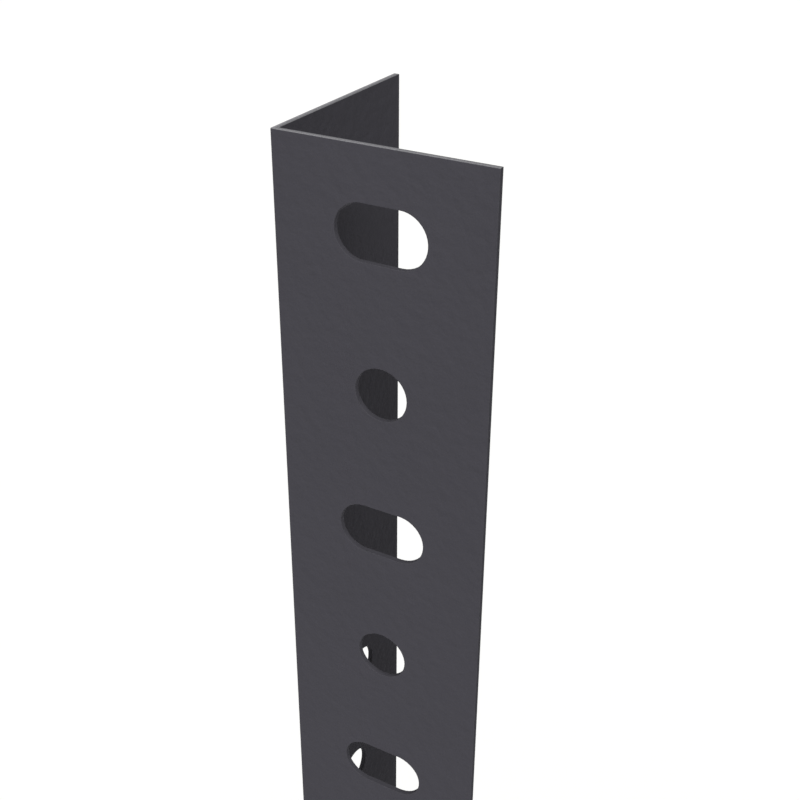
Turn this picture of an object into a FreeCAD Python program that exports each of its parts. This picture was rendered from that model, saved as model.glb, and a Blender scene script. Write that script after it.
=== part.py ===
# Slotted angle upright for shelving: one steel strip folded into two equal legs, punched from end to end
# Millimetres. +Z runs up the bar from its foot at z = 0, and x = y = 0 is the middle of the legs' square
import FreeCAD, Part
import math
import os

import Sketcher

NODE = "angle_upright"

# Driving sizes: alias, value and what it measures
SIZES = [
    ("bar_length", 1000.0, "cut length of the bar"),
    ("leg_width", 33.5, "outside width of each leg, over the heel"),
    ("sheet_thickness", 0.9, "thickness of the strip"),
    ("heel_radius", 0.3, "outside radius of the fold, set almost sharp"),
    ("throat_radius", 0.2, "inside radius of the fold"),
    ("round_diameter", 8.3, "diameter of a round hole"),
    ("slot_width", 8.3, "width of a slot, up the bar"),
    ("slot_length", 14.2, "length of a slot, end to end across the leg"),
    ("end_land", 12.0, "top end to the middle of the highest hole, and the least that is left at the foot"),
    ("hole_pitch", 23.75, "one hole to the next within a press stroke"),
    ("stroke_pitch", 96.25, "advance of the strip from stroke to stroke"),
]

# What one press stroke punches down each leg, from the top
STROKE = ["slot", "round", "slot", "round"]

# The plane of each leg's outer face, and whether a cut from it must be turned round to enter the steel
LEGS = {"front": ("XZ_Plane", False), "side": ("YZ_Plane", True)}

# How a constraint names the two ends of a line or arc, the middle of an arc, and the sketch's own origin
START, END, CENTRE = 1, 2, 3
ORIGIN_POINT = (-1, 1)

# Two places closer than this are the same, in mm, and two volumes that differ by less than this share
SAME_PLACE = 1e-6
SAME_VOLUME = 1e-3


def point(across, along):
    """A place in a sketch, from its own origin."""
    return FreeCAD.Vector(across, along, 0)


def make_sizes(doc):
    """Keep every driving size in a sheet, one aliased cell each."""
    sheet = doc.addObject("Spreadsheet::Sheet", "Sizes")
    for row, (alias, value, meaning) in enumerate(SIZES, start=1):
        sheet.set(f"A{row}", alias)
        sheet.set(f"B{row}", str(value))
        sheet.set(f"C{row}", meaning)
        sheet.setAlias(f"B{row}", alias)
    doc.recompute()
    return sheet


def origin_item(body, role):
    """One of the body's own origin planes or axes."""
    return next(item for item in body.Origin.OriginFeatures if item.Role == role)


def new_sketch(body, name, plane_role):
    """An empty sketch on one of the body's origin planes."""
    sketch = body.newObject("Sketcher::SketchObject", name)
    sketch.AttachmentSupport = [(origin_item(body, plane_role), "")]
    sketch.MapMode = "FlatFace"
    return sketch


def relate(sketch, kind, *places):
    """Add a rule without a size, such as Horizontal or Tangent."""
    sketch.addConstraint(Sketcher.Constraint(kind, *places))


def size(sketch, name, kind, places, value, expression):
    """Add a named dimension, drawn at its value and tied to the sheet."""
    index = sketch.addConstraint(Sketcher.Constraint(kind, *places, value))
    sketch.renameConstraint(index, name)
    sketch.setExpression(f"Constraints.{name}", expression)


def draw_section(body, sheet):
    """The L section, with its heel on the body's origin."""
    wide, thick = sheet.leg_width, sheet.sheet_thickness
    corners = [(0, 0), (wide, 0), (wide, thick), (thick, thick), (thick, wide), (0, wide)]
    sketch = new_sketch(body, "section", "XY_Plane")
    lines = []
    for index, corner in enumerate(corners):
        following = corners[(index + 1) % len(corners)]
        lines.append(sketch.addGeometry(Part.LineSegment(point(*corner), point(*following))))
    for index, line in enumerate(lines):
        relate(sketch, "Coincident", line, END, lines[(index + 1) % len(lines)], START)
        relate(sketch, "Horizontal" if index % 2 == 0 else "Vertical", line)
    front_leg, front_edge, _, _, side_edge, side_leg = lines
    relate(sketch, "Coincident", front_leg, START, *ORIGIN_POINT)
    relate(sketch, "Equal", front_leg, side_leg)
    relate(sketch, "Equal", front_edge, side_edge)
    size(sketch, "width", "Distance", [front_leg], wide, "Sizes.leg_width")
    size(sketch, "thickness", "Distance", [front_edge], thick, "Sizes.sheet_thickness")
    return sketch


def upright_edge(feature, across, along):
    """The name of the edge that runs up the bar at one corner of the section."""
    for index, edge in enumerate(feature.Shape.Edges, start=1):
        box = edge.BoundBox
        straight_up = box.XLength < SAME_PLACE and box.YLength < SAME_PLACE
        if straight_up and math.hypot(box.XMin - across, box.YMin - along) < SAME_PLACE:
            return f"Edge{index}"
    raise ValueError(f"no upright edge at {across}, {along}")


def round_fold(body, name, base, corner, radius_alias):
    """Round one side of the fold over the whole length."""
    fillet = body.newObject("PartDesign::Fillet", name)
    fillet.Base = (base, [upright_edge(base, corner, corner)])
    fillet.setExpression("Radius", f"Sizes.{radius_alias}")
    body.Document.recompute()
    return fillet


def fold_strip(body, sheet):
    """The plain folded bar: the section run up to its length, with both sides of the fold rounded."""
    bar = body.newObject("PartDesign::Pad", "bar")
    bar.Profile = draw_section(body, sheet)
    bar.setExpression("Length", "Sizes.bar_length")
    body.Document.recompute()
    heel = round_fold(body, "heel", bar, 0, "heel_radius")
    return round_fold(body, "throat", heel, sheet.sheet_thickness, "throat_radius")


def station_depth(station):
    """How far below the top end this station's first hole lies, in terms of the sheet."""
    return f"(Sizes.end_land + {station} * Sizes.hole_pitch)"


def strokes_that_fit(station):
    """How many holes this station leaves down the bar, the land at the foot kept, in terms of the sheet."""
    room = f"(Sizes.bar_length - Sizes.end_land - {station_depth(station)})"
    return f"(floor({room} / Sizes.stroke_pitch) + 1)"


def draw_round(sketch, sheet, height, height_rule):
    """A round hole on the middle line of the leg."""
    middle, radius = sheet.leg_width / 2, sheet.round_diameter / 2
    circle = sketch.addGeometry(Part.Circle(point(middle, height), FreeCAD.Vector(0, 0, 1), radius))
    size(sketch, "radius", "Radius", [circle], radius, "Sizes.round_diameter / 2")
    size(sketch, "across", "DistanceX", [*ORIGIN_POINT, circle, CENTRE], middle, "Sizes.leg_width / 2")
    size(sketch, "height", "DistanceY", [*ORIGIN_POINT, circle, CENTRE], height, height_rule)


def draw_slot(sketch, sheet, height, height_rule):
    """A slot across the leg, with round ends, on the middle line of the leg."""
    radius = sheet.slot_width / 2
    reach = sheet.slot_length / 2 - radius
    left, right = sheet.leg_width / 2 - reach, sheet.leg_width / 2 + reach
    quarter = math.pi / 2
    arcs = []
    for middle, start, end in ((left, quarter, 3 * quarter), (right, -quarter, quarter)):
        circle = Part.Circle(point(middle, height), FreeCAD.Vector(0, 0, 1), radius)
        arcs.append(sketch.addGeometry(Part.ArcOfCircle(circle, start, end)))
    left_end, right_end = arcs
    low, high = height - radius, height + radius
    bottom = sketch.addGeometry(Part.LineSegment(point(left, low), point(right, low)))
    top = sketch.addGeometry(Part.LineSegment(point(right, high), point(left, high)))
    for first, second in ((left_end, bottom), (bottom, right_end), (right_end, top), (top, left_end)):
        relate(sketch, "Tangent", first, END, second, START)
    relate(sketch, "Horizontal", bottom)
    relate(sketch, "Equal", left_end, right_end)
    size(sketch, "radius", "Radius", [left_end], radius, "Sizes.slot_width / 2")
    span_rule = "(Sizes.slot_length - Sizes.slot_width)"
    size(sketch, "span", "Distance", [bottom], right - left, span_rule)
    across_rule = f"Sizes.leg_width / 2 - {span_rule} / 2"
    size(sketch, "across", "DistanceX", [*ORIGIN_POINT, left_end, CENTRE], left, across_rule)
    size(sketch, "height", "DistanceY", [*ORIGIN_POINT, left_end, CENTRE], height, height_rule)


DRAW = {"slot": draw_slot, "round": draw_round}


def punch_station(body, sheet, leg, station, shape):
    """One station of the press: its first hole in this leg, then the same hole again at every stroke."""
    plane_role, turned = LEGS[leg]
    label = f"{leg}_{station + 1}_{shape}"
    depth = sheet.end_land + station * sheet.hole_pitch
    sketch = new_sketch(body, f"{label}_outline", plane_role)
    height_rule = f"Sizes.bar_length - {station_depth(station)}"
    DRAW[shape](sketch, sheet, sheet.bar_length - depth, height_rule)

    hole = body.newObject("PartDesign::Pocket", f"{label}_hole")
    hole.Profile = sketch
    hole.Type = "ThroughAll"
    hole.Reversed = turned
    body.Document.recompute()

    row = body.newObject("PartDesign::LinearPattern", f"{label}_row")
    row.Originals = [hole]
    row.Direction = (origin_item(body, "Z_Axis"), [""])
    row.Reversed = True
    row.setExpression("Occurrences", strokes_that_fit(station))
    row.setExpression("Length", f"({strokes_that_fit(station)} - 1) * Sizes.stroke_pitch")
    body.Tip = row
    body.Document.recompute()
    return row


def hole_area(sheet, shape):
    """The area that one hole takes out of the strip."""
    if shape == "round":
        return math.pi * (sheet.round_diameter / 2) ** 2
    straight = sheet.slot_length - sheet.slot_width
    return math.pi * (sheet.slot_width / 2) ** 2 + straight * sheet.slot_width


def punch_legs(body, sheet, blank):
    """Punch both legs station by station, and see that each row takes out just its own holes."""
    before = blank.Shape.Volume
    for leg in LEGS:
        for station, shape in enumerate(STROKE):
            row = punch_station(body, sheet, leg, station, shape)
            punched = row.Occurrences * hole_area(sheet, shape) * sheet.sheet_thickness
            removed = before - row.Shape.Volume
            if abs(removed - punched) > SAME_VOLUME * punched:
                raise ValueError(f"{row.Name} removes {removed:.2f} mm3, not {punched:.2f} mm3")
            print(f"{row.Name}: {row.Occurrences} holes")
            before = row.Shape.Volume


def build_upright(doc, sheet):
    """The whole upright, moved so that its foot is centred on the origin."""
    body = doc.addObject("PartDesign::Body", NODE)
    body.Label = NODE
    punch_legs(body, sheet, fold_strip(body, sheet))
    for axis in ("x", "y"):
        body.setExpression(f".Placement.Base.{axis}", "-Sizes.leg_width / 2")
    doc.recompute()
    return body


def check_document(doc, parts):
    """Stop at any feature that failed, and at any shape that isn't whole."""
    for item in doc.Objects:
        if "Invalid" in item.State or "Error" in item.State:
            raise ValueError(f"{item.Name} failed: {item.State}")
    for part in parts:
        if part.Shape.isNull() or not part.Shape.isValid() or len(part.Shape.Solids) != 1:
            raise ValueError(f"{part.Label} isn't one valid solid")


def write_parts(parts):
    """Write each part to its own STEP file, named by its label."""
    os.makedirs("parts", exist_ok=True)
    for part in parts:
        part.Shape.exportStep(f"parts/{part.Label}.step")
        box = part.Shape.BoundBox
        print(f"{part.Label}: {part.Shape.Volume:.1f} mm3, {len(part.Shape.Faces)} faces")
        print(f"  x {box.XMin:.2f} to {box.XMax:.2f}, y {box.YMin:.2f} to {box.YMax:.2f}")
        print(f"  z {box.ZMin:.2f} to {box.ZMax:.2f}")


def main():
    doc = FreeCAD.newDocument("AngleUpright")
    parts = [build_upright(doc, make_sizes(doc))]
    check_document(doc, parts)
    write_parts(parts)


main()
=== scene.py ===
# Slotted angle upright: a folded and punched steel strip, painted matt anthracite, with bare sheared ends
# whose light tone is partly painted light from above
import math

import bmesh
import bpy
from mathutils import Matrix, Vector


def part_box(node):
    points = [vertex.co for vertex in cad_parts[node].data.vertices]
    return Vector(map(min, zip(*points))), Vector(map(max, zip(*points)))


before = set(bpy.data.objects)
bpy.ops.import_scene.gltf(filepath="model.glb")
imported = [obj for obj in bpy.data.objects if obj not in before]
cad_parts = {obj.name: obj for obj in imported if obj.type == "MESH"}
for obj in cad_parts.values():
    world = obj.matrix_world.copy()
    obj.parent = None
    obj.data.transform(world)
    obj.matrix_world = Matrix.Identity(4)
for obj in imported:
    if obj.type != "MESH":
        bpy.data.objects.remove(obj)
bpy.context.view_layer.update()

MM = 0.001
NODE = "angle_upright"

# The camera as the photograph has it: its place is measured from the top corner of the heel, in mm
CAMERA_FROM_HEEL = Vector((89.97, -126.47, 45.53)) * MM
CAMERA_AZIMUTH = 28.996
CAMERA_ELEVATION = 29.282
CAMERA_ROLL = -0.303
FOCAL_PIXELS = 1190.60
PHOTO_WIDTH = 800
SENSOR_WIDTH = 36.0
NEAREST_SEEN = 1.0 * MM
FARTHEST_SEEN = 60.0

# Light: a level of 1 shows a colour as it is written
SKY_LIGHT = (0.22, 0.217, 0.19, 1.0)
SKY_SEEN = (1.0, 1.0, 1.0, 1.0)
LAMPS = {
    "key": {"level": 0.915, "azimuth": 20.0, "elevation": 40.0, "spread": 40.0},
    "fill": {"level": 0.45, "azimuth": 245.0, "elevation": 12.0, "spread": 50.0},
    "back": {"level": 0.075, "azimuth": 130.0, "elevation": 30.0, "spread": 60.0},
}

# The floor: a pale disc round the foot
FLOOR_RADIUS = 30.0
FLOOR_CORNERS = 96
FLOOR_TONE = 0.5
FLOOR_LIFT = 0.55

# Edges broken by the shear and the punch
EDGE_BREAK = 0.06 * MM
EDGE_SEGMENTS = 3
SHARP_ANGLE = 35.0
WELD_DISTANCE = 0.001 * MM

# Paint: a soft orange peel and a fine grain over it. A height is the relief where its noise is 1
PAINT_DARK = (0.059, 0.0572, 0.0685, 1.0)
PAINT_LIGHT = (0.066, 0.064, 0.0765, 1.0)
PAINT_ROUGHNESS = (0.7, 0.8)
SPECULAR = 0.02
PEEL_SIZE = 1.8 * MM
PEEL_HEIGHT = 0.2 * MM
GRAIN_SIZE = 0.16 * MM
GRAIN_HEIGHT = 0.01 * MM
GRAIN_DETAIL = 1.0
GRAIN_SHARE = 0.5
MOTTLE_SIZE = 34.0 * MM
MOTTLE_DETAIL = 3.0

# Paint drawn thin over the edges. The turn is a cosine: where thinning starts, and where it is full
THIN_REACH = 0.22 * MM
THIN_TURN = (0.97, 0.8)
THIN_TONE = (0.105, 0.103, 0.114, 1.0)
THIN_SHARE = 0.55
THIN_PATCH_SIZE = 0.9 * MM
THIN_LEAST = 0.4

# Bare steel of the sheared ends, its light tone partly painted light that stands in for light from above on
# the top end: a smooth band on the outer side, where the blade went in, then torn grain
SMOOTH_DEPTH = 0.45 * MM
TEAR_REACH = 0.27 * MM
TEAR_BORDER = 0.05 * MM
# These two steel tones are partly painted light: they are set light to stand in for light falling from
# above on the top end
STEEL_DARK_WITH_PAINTED_LIGHT = (0.13, 0.129, 0.14, 1.0)
STEEL_LIGHT_WITH_PAINTED_LIGHT = (0.295, 0.292, 0.316, 1.0)
STEEL_ROUGHNESS = (0.45, 0.75)
STEEL_METALLIC = 0.2
TORN_SHADE = 0.08
SHEAR_MARK_SIZE = 0.09 * MM
SHEAR_MARK_STRETCH = 7.0
TEAR_SIZE = 0.12 * MM
TEAR_HEIGHT = 0.012 * MM
TEAR_DETAIL = 3.0
TEAR_SHARE = 0.4

# Where the steel is bare and drawn lighter as partly painted light: close to an end, on faces that look up
# or down
CUT_DEPTH = 0.1 * MM
CUT_FACING = (0.5, 0.85)
CUT_RAGGED = 0.5

# Where a noise has most of its values, and how many finer layers it has unless it names its own
NOISE_LOW = 0.3
NOISE_HIGH = 0.7
NOISE_DETAIL = 2.0

# All relief is worked out in metres
RELIEF_UNIT = 1.0


def rgb_ramp(tree, low, high, start=0.0, end=1.0):
    """A ramp from one colour to another between two values of its input."""
    ramp = tree.nodes.new("ShaderNodeValToRGB")
    ramp.color_ramp.elements[0].position = start
    ramp.color_ramp.elements[0].color = low
    ramp.color_ramp.elements[1].position = end
    ramp.color_ramp.elements[1].color = high
    return ramp


def spread_to(tree, source, low, high, start=0.0, end=1.0):
    """A value stretched from start..end to low..high, and held there."""
    stretch = tree.nodes.new("ShaderNodeMapRange")
    stretch.inputs["From Min"].default_value = start
    stretch.inputs["From Max"].default_value = end
    stretch.inputs["To Min"].default_value = low
    stretch.inputs["To Max"].default_value = high
    tree.links.new(source, stretch.inputs["Value"])
    return stretch.outputs["Result"]


def combine(tree, operation, first, second=None):
    """One arithmetic step on two values, each a socket or a number."""
    step = tree.nodes.new("ShaderNodeMath")
    step.operation = operation
    for socket, value in zip(step.inputs, (first, second)):
        if isinstance(value, bpy.types.NodeSocket):
            tree.links.new(value, socket)
        elif value is not None:
            socket.default_value = value
    return step.outputs["Value"]


def noise(tree, place, feature_size, detail=NOISE_DETAIL, stretch=(1.0, 1.0, 1.0)):
    """Noise with features of a real size, in metres, drawn out by stretch along each axis."""
    mapping = tree.nodes.new("ShaderNodeMapping")
    mapping.inputs["Scale"].default_value = [1.0 / (feature_size * s) for s in stretch]
    tree.links.new(place, mapping.inputs["Vector"])
    texture = tree.nodes.new("ShaderNodeTexNoise")
    texture.inputs["Scale"].default_value = 1.0
    texture.inputs["Detail"].default_value = detail
    tree.links.new(mapping.outputs["Vector"], texture.inputs["Vector"])
    return texture.outputs["Fac"]


def mix(tree, share, first, second):
    """A blend of two colours, each a socket or a colour."""
    blend = tree.nodes.new("ShaderNodeMix")
    blend.data_type = "RGBA"
    tree.links.new(share, blend.inputs["Factor"])
    for name, colour in (("A", first), ("B", second)):
        socket = next(s for s in blend.inputs if s.name == name and s.type == "RGBA")
        if isinstance(colour, bpy.types.NodeSocket):
            tree.links.new(colour, socket)
        else:
            socket.default_value = colour
    return next(s for s in blend.outputs if s.type == "RGBA")


def between(tree, share, first, second):
    """A value that goes from one to the other as the share goes from 0 to 1."""
    rest = combine(tree, "SUBTRACT", 1.0, share)
    from_first = combine(tree, "MULTIPLY", first, rest)
    from_second = combine(tree, "MULTIPLY", second, share)
    return combine(tree, "ADD", from_first, from_second)


def parts_of(tree, vector):
    """The three separate values of a vector."""
    split = tree.nodes.new("ShaderNodeSeparateXYZ")
    tree.links.new(vector, split.inputs["Vector"])
    return split.outputs["X"], split.outputs["Y"], split.outputs["Z"]


def thin_edges(tree, place):
    """How thin the paint is: it draws back from edges, more in some places than in others."""
    rounded = tree.nodes.new("ShaderNodeBevel")
    rounded.inputs["Radius"].default_value = THIN_REACH
    geometry = tree.nodes.new("ShaderNodeNewGeometry")
    turn = tree.nodes.new("ShaderNodeVectorMath")
    turn.operation = "DOT_PRODUCT"
    tree.links.new(rounded.outputs["Normal"], turn.inputs[0])
    tree.links.new(geometry.outputs["True Normal"], turn.inputs[1])
    edge = spread_to(tree, turn.outputs["Value"], 0.0, THIN_SHARE, *THIN_TURN)
    patches = spread_to(tree, noise(tree, place, THIN_PATCH_SIZE), THIN_LEAST, 1.0, NOISE_LOW, NOISE_HIGH)
    return combine(tree, "MULTIPLY", edge, patches)


def paint(tree, place):
    """Matt powder paint, with a faint drift of tone and gloss: its colour, roughness and relief."""
    mottle = noise(tree, place, MOTTLE_SIZE, detail=MOTTLE_DETAIL)
    grain = noise(tree, place, GRAIN_SIZE, detail=GRAIN_DETAIL)
    peel = noise(tree, place, PEEL_SIZE)
    even = rgb_ramp(tree, PAINT_DARK, PAINT_LIGHT, NOISE_LOW, NOISE_HIGH)
    tree.links.new(between(tree, GRAIN_SHARE, mottle, grain), even.inputs["Fac"])
    colour = mix(tree, thin_edges(tree, place), even.outputs["Color"], THIN_TONE)
    roughness = spread_to(tree, mottle, *PAINT_ROUGHNESS, NOISE_LOW, NOISE_HIGH)
    coarse = combine(tree, "MULTIPLY", peel, PEEL_HEIGHT)
    fine = combine(tree, "MULTIPLY", grain, GRAIN_HEIGHT)
    return colour, roughness, combine(tree, "ADD", coarse, fine)


def along_the_cut(tree, place):
    """A place on an end face as how far it is along the strip, and how deep it is from the outer side."""
    low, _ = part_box(NODE)
    across, back, _ = parts_of(tree, place)
    from_side = combine(tree, "SUBTRACT", across, low.x)
    from_front = combine(tree, "SUBTRACT", back, low.y)
    depth = combine(tree, "MINIMUM", from_side, from_front)
    joined = tree.nodes.new("ShaderNodeCombineXYZ")
    tree.links.new(combine(tree, "MAXIMUM", from_side, from_front), joined.inputs["X"])
    tree.links.new(depth, joined.inputs["Y"])
    return joined.outputs["Vector"], depth


def steel_with_painted_light(tree, place):
    """Bare sheared steel, smooth where the blade went in and torn beyond: colour, partly painted light from
    above, roughness and relief.
    """
    cut, depth = along_the_cut(tree, place)
    tear = noise(tree, cut, TEAR_SIZE, detail=TEAR_DETAIL)
    ragged = combine(tree, "ADD", depth, spread_to(tree, tear, -TEAR_REACH, TEAR_REACH))
    torn = spread_to(tree, ragged, 0.0, 1.0, SMOOTH_DEPTH - TEAR_BORDER, SMOOTH_DEPTH + TEAR_BORDER)
    marks = noise(tree, cut, SHEAR_MARK_SIZE, stretch=(1.0, SHEAR_MARK_STRETCH, 1.0))
    streaked = between(tree, TEAR_SHARE, marks, tear)
    shaded = combine(tree, "SUBTRACT", streaked, combine(tree, "MULTIPLY", torn, TORN_SHADE))
    # The steel's light tone is partly painted light, standing in for light from above on the top end
    colour = rgb_ramp(tree, STEEL_DARK_WITH_PAINTED_LIGHT, STEEL_LIGHT_WITH_PAINTED_LIGHT, NOISE_LOW, NOISE_HIGH)
    tree.links.new(shaded, colour.inputs["Fac"])
    roughness = spread_to(tree, torn, *STEEL_ROUGHNESS)
    relief = combine(tree, "MULTIPLY", combine(tree, "MULTIPLY", tear, torn), TEAR_HEIGHT)
    return colour.outputs["Color"], roughness, relief


def sheared_faces_painted_lighter(tree, place):
    """1 on the two end faces of the bar, where the steel is drawn lighter as partly painted light, 0
    everywhere else, with a ragged rim of paint between.
    """
    low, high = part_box(NODE)
    geometry = tree.nodes.new("ShaderNodeNewGeometry")
    _, _, upright = parts_of(tree, geometry.outputs["Normal"])
    rag = spread_to(tree, noise(tree, place, TEAR_SIZE), -CUT_RAGGED / 2, CUT_RAGGED / 2)
    facing = combine(tree, "ADD", combine(tree, "ABSOLUTE", upright), rag)
    _, _, height = parts_of(tree, place)
    from_middle = combine(tree, "ABSOLUTE", combine(tree, "SUBTRACT", height, (low.z + high.z) / 2))
    at_end = combine(tree, "GREATER_THAN", from_middle, (high.z - low.z) / 2 - CUT_DEPTH)
    return combine(tree, "MULTIPLY", spread_to(tree, facing, 0.0, 1.0, *CUT_FACING), at_end)


def painted_strip():
    """The whole finish of the bar: paint on the strip, bare steel on its two ends, its light tone partly
    painted light from above.
    """
    material = bpy.data.materials.new("anthracite_paint")
    material.use_nodes = True
    tree = material.node_tree
    shader = tree.nodes["Principled BSDF"]
    shader.inputs["Specular IOR Level"].default_value = SPECULAR
    place = tree.nodes.new("ShaderNodeTexCoord").outputs["Object"]
    bare_and_painted_lighter = sheared_faces_painted_lighter(tree, place)
    paint_colour, paint_roughness, paint_relief = paint(tree, place)
    steel_with_painted_light_colour, steel_roughness, steel_relief = steel_with_painted_light(tree, place)
    # The end faces take the steel colour, whose light tone is partly painted light from above
    tree.links.new(mix(tree, bare_and_painted_lighter, paint_colour, steel_with_painted_light_colour), shader.inputs["Base Color"])
    tree.links.new(combine(tree, "MULTIPLY", bare_and_painted_lighter, STEEL_METALLIC), shader.inputs["Metallic"])
    tree.links.new(between(tree, bare_and_painted_lighter, paint_roughness, steel_roughness), shader.inputs["Roughness"])
    relief = tree.nodes.new("ShaderNodeBump")
    relief.inputs["Distance"].default_value = RELIEF_UNIT
    tree.links.new(between(tree, bare_and_painted_lighter, paint_relief, steel_relief), relief.inputs["Height"])
    tree.links.new(relief.outputs["Normal"], shader.inputs["Normal"])
    return material


def dress_bar():
    """Give the bar its finish, and break its edges as the shear, the punch and the paint leave them."""
    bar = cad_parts[NODE]
    finish = painted_strip()
    for slot in bar.material_slots:
        slot.material = finish
    weld = bar.modifiers.new("one_skin", "WELD")
    weld.merge_threshold = WELD_DISTANCE
    broken = bar.modifiers.new("broken_edges", "BEVEL")
    broken.width = EDGE_BREAK
    broken.segments = EDGE_SEGMENTS
    broken.loop_slide = False
    broken.limit_method = "ANGLE"
    broken.angle_limit = math.radians(SHARP_ANGLE)
    broken.use_clamp_overlap = False
    broken.harden_normals = True


def seen_or_mirrored(tree):
    """1 for what the camera sees, itself or in gloss or glass, 0 for light that falls on things."""
    path = tree.nodes.new("ShaderNodeLightPath")
    direct = combine(tree, "MAXIMUM", path.outputs["Is Camera Ray"], path.outputs["Is Glossy Ray"])
    return combine(tree, "MAXIMUM", direct, path.outputs["Is Transmission Ray"])


def light_world():
    """An even sky: a dim, slightly warm light on things, and white to look at."""
    world = bpy.data.worlds.new("studio")
    bpy.context.scene.world = world
    world.use_nodes = True
    tree = world.node_tree
    sky = rgb_ramp(tree, SKY_LIGHT, SKY_SEEN)
    tree.links.new(seen_or_mirrored(tree), sky.inputs["Fac"])
    tree.links.new(sky.outputs["Color"], tree.nodes["Background"].inputs["Color"])


def towards(azimuth, elevation):
    """The direction of a place seen from the object: azimuth 0 is in front of it, 90 to its right."""
    turn = math.radians(azimuth)
    rise = math.radians(elevation)
    return Vector((math.sin(turn) * math.cos(rise), -math.cos(turn) * math.cos(rise), math.sin(rise)))


def add_lamps():
    """Broad soft lights: the key in front, the fill low at the back left, a faint one at the back right."""
    for name, lit in LAMPS.items():
        lamp = bpy.data.lights.new(name, "SUN")
        lamp.energy = lit["level"] * math.pi
        lamp.angle = math.radians(lit["spread"])
        light = bpy.data.objects.new(name, lamp)
        light.rotation_mode = "QUATERNION"
        light.rotation_quaternion = (-towards(lit["azimuth"], lit["elevation"])).to_track_quat("-Z", "Y")
        bpy.context.scene.collection.objects.link(light)


def floor_material():
    """Pale and matt, and lifted to white where the camera sees it lit."""
    material = bpy.data.materials.new("pale_floor")
    material.use_nodes = True
    tree = material.node_tree
    tree.nodes.clear()
    matt = tree.nodes.new("ShaderNodeBsdfDiffuse")
    matt.inputs["Color"].default_value = (FLOOR_TONE, FLOOR_TONE, FLOOR_TONE, 1.0)
    lift = tree.nodes.new("ShaderNodeEmission")
    strength = combine(tree, "MULTIPLY", seen_or_mirrored(tree), FLOOR_LIFT)
    tree.links.new(strength, lift.inputs["Strength"])
    both = tree.nodes.new("ShaderNodeAddShader")
    tree.links.new(matt.outputs["BSDF"], both.inputs[0])
    tree.links.new(lift.outputs["Emission"], both.inputs[1])
    output = tree.nodes.new("ShaderNodeOutputMaterial")
    tree.links.new(both.outputs["Shader"], output.inputs["Surface"])
    return material


def add_floor():
    """The disc that the bar stands on."""
    mesh = bpy.data.meshes.new("floor")
    shape = bmesh.new()
    bmesh.ops.create_circle(shape, cap_ends=True, radius=FLOOR_RADIUS, segments=FLOOR_CORNERS)
    shape.to_mesh(mesh)
    shape.free()
    mesh.materials.append(floor_material())
    floor = bpy.data.objects.new("floor", mesh)
    floor.location.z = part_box(NODE)[0].z
    bpy.context.scene.collection.objects.link(floor)


def add_camera():
    """The photograph's camera, close in front of the bar's top and looking down on it."""
    lens = bpy.data.cameras.new("photograph")
    lens.sensor_width = SENSOR_WIDTH
    lens.lens = FOCAL_PIXELS * SENSOR_WIDTH / PHOTO_WIDTH
    lens.clip_start = NEAREST_SEEN
    lens.clip_end = FARTHEST_SEEN
    camera = bpy.data.objects.new("photograph", lens)
    low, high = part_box(NODE)
    camera.location = Vector((low.x, low.y, high.z)) + CAMERA_FROM_HEEL
    facing = (-towards(CAMERA_AZIMUTH, CAMERA_ELEVATION)).to_track_quat("-Z", "Y")
    roll = Matrix.Rotation(math.radians(-CAMERA_ROLL), 3, "Z").to_quaternion()
    camera.rotation_mode = "QUATERNION"
    camera.rotation_quaternion = facing @ roll
    bpy.context.scene.collection.objects.link(camera)
    bpy.context.scene.camera = camera


dress_bar()
light_world()
add_lamps()
add_floor()
add_camera()
bpy.context.scene.view_settings.view_transform = "Standard"
